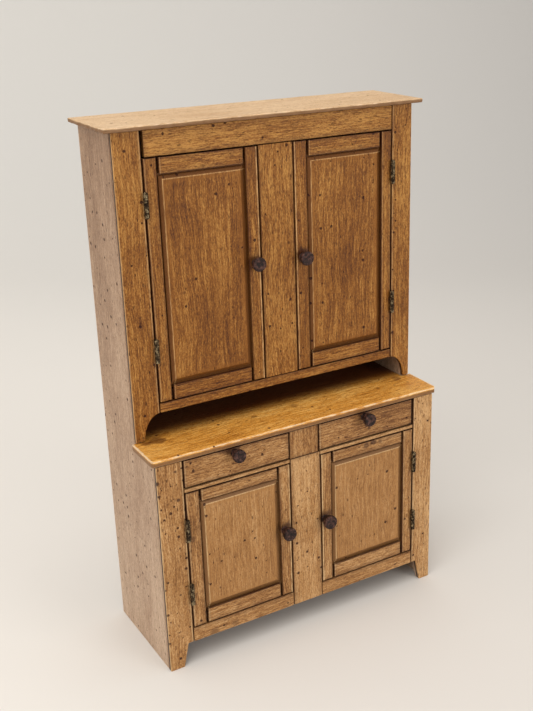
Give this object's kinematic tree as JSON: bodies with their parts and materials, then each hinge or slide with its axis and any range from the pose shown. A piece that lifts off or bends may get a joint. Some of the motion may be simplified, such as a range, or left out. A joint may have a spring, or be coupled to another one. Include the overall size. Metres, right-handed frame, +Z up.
{
  "type": "miniature step-back cupboard",
  "caption": "Dolls' house step-back cupboard with hinged panelled doors, sliding drawers, a worktop and an open recess.",
  "frame": {"origin": "on the floor, under the middle of the cupboard's bounding box", "axes": "+Z up, front faces -Y, +X to the right seen from the front"},
  "size_m": [0.1134, 0.0466, 0.178],
  "materials": {
    "top_wood": "bare, sun-faded pine top with worn edges",
    "worktop_wood": "golden honey stain under satin varnish",
    "side_wood": "thinly stained, greyish vertical grain",
    "upper_wood": "warm honey-brown stain, satin varnish, worn arrises",
    "lower_wood": "lighter honey-brown stain, satin varnish, worm holes",
    "inside_wood": "dark unfinished boards",
    "knob_wood": "turned, dark purple-brown, soft gloss",
    "hinge_brass": "tarnished brass"
  },
  "bodies": {
    "root": {"top_board": "top_wood", "left_side_panel": "side_wood", "right_side_panel": "side_wood", "back_panel": "side_wood", "worktop": "worktop_wood", "upper_case_floor": "inside_wood", "upper_shelf": "inside_wood", "lower_case_floor": "inside_wood", "dust_board": "inside_wood", "upper_left_stile": "upper_wood", "upper_right_stile": "upper_wood", "upper_top_rail": "upper_wood", "upper_centre_stile": "upper_wood", "upper_bottom_rail": "upper_wood", "lower_left_stile": "lower_wood", "lower_right_stile": "lower_wood", "drawer_divider": "lower_wood", "lower_centre_stile": "lower_wood", "left_drawer_rail": "lower_wood", "right_drawer_rail": "lower_wood", "left_bottom_rail": "lower_wood", "right_bottom_rail": "lower_wood", "upper_left_door_lower_hinge": "hinge_brass", "upper_left_door_upper_hinge": "hinge_brass", "upper_right_door_lower_hinge": "hinge_brass", "upper_right_door_upper_hinge": "hinge_brass", "lower_left_door_lower_hinge": "hinge_brass", "lower_left_door_upper_hinge": "hinge_brass", "lower_right_door_lower_hinge": "hinge_brass", "lower_right_door_upper_hinge": "hinge_brass"},
    "upper_left_door": {"upper_left_door_hinge_stile": "upper_wood", "upper_left_door_closing_stile": "upper_wood", "upper_left_door_top_rail": "upper_wood", "upper_left_door_bottom_rail": "upper_wood", "upper_left_door_panel": "upper_wood", "upper_left_door_knob": "knob_wood"},
    "upper_right_door": {"upper_right_door_hinge_stile": "upper_wood", "upper_right_door_closing_stile": "upper_wood", "upper_right_door_top_rail": "upper_wood", "upper_right_door_bottom_rail": "upper_wood", "upper_right_door_panel": "upper_wood", "upper_right_door_knob": "knob_wood"},
    "lower_left_door": {"lower_left_door_hinge_stile": "lower_wood", "lower_left_door_closing_stile": "lower_wood", "lower_left_door_top_rail": "lower_wood", "lower_left_door_bottom_rail": "lower_wood", "lower_left_door_panel": "lower_wood", "lower_left_door_knob": "knob_wood"},
    "lower_right_door": {"lower_right_door_hinge_stile": "lower_wood", "lower_right_door_closing_stile": "lower_wood", "lower_right_door_top_rail": "lower_wood", "lower_right_door_bottom_rail": "lower_wood", "lower_right_door_panel": "lower_wood", "lower_right_door_knob": "knob_wood"},
    "left_drawer": {"left_drawer_front": "lower_wood", "left_drawer_box": "inside_wood", "left_drawer_knob": "knob_wood"},
    "right_drawer": {"right_drawer_front": "lower_wood", "right_drawer_box": "inside_wood", "right_drawer_knob": "knob_wood"}
  },
  "joints": [
    {"name": "upper_left_door_hinge", "type": "hinge", "parent": "root", "child": "upper_left_door", "pos_m": [-0.04457, -0.00505, 0.0903], "axis": [0, 0, -1], "range_deg": [0, 110]},
    {"name": "upper_right_door_hinge", "type": "hinge", "parent": "root", "child": "upper_right_door", "pos_m": [0.04537, -0.00505, 0.0903], "axis": [0, 0, 1], "range_deg": [0, 110]},
    {"name": "lower_left_door_hinge", "type": "hinge", "parent": "root", "child": "lower_left_door", "pos_m": [-0.04453, -0.01975, 0.01415], "axis": [0, 0, -1], "range_deg": [0, 110]},
    {"name": "lower_right_door_hinge", "type": "hinge", "parent": "root", "child": "lower_right_door", "pos_m": [0.04512, -0.01975, 0.01415], "axis": [0, 0, 1], "range_deg": [0, 110]},
    {"name": "left_drawer_slide", "type": "slide", "parent": "root", "child": "left_drawer", "axis": [0, -1, 0], "range_m": [0, 0.024]},
    {"name": "right_drawer_slide", "type": "slide", "parent": "root", "child": "right_drawer", "axis": [0, -1, 0], "range_m": [0, 0.024]}
  ]
}
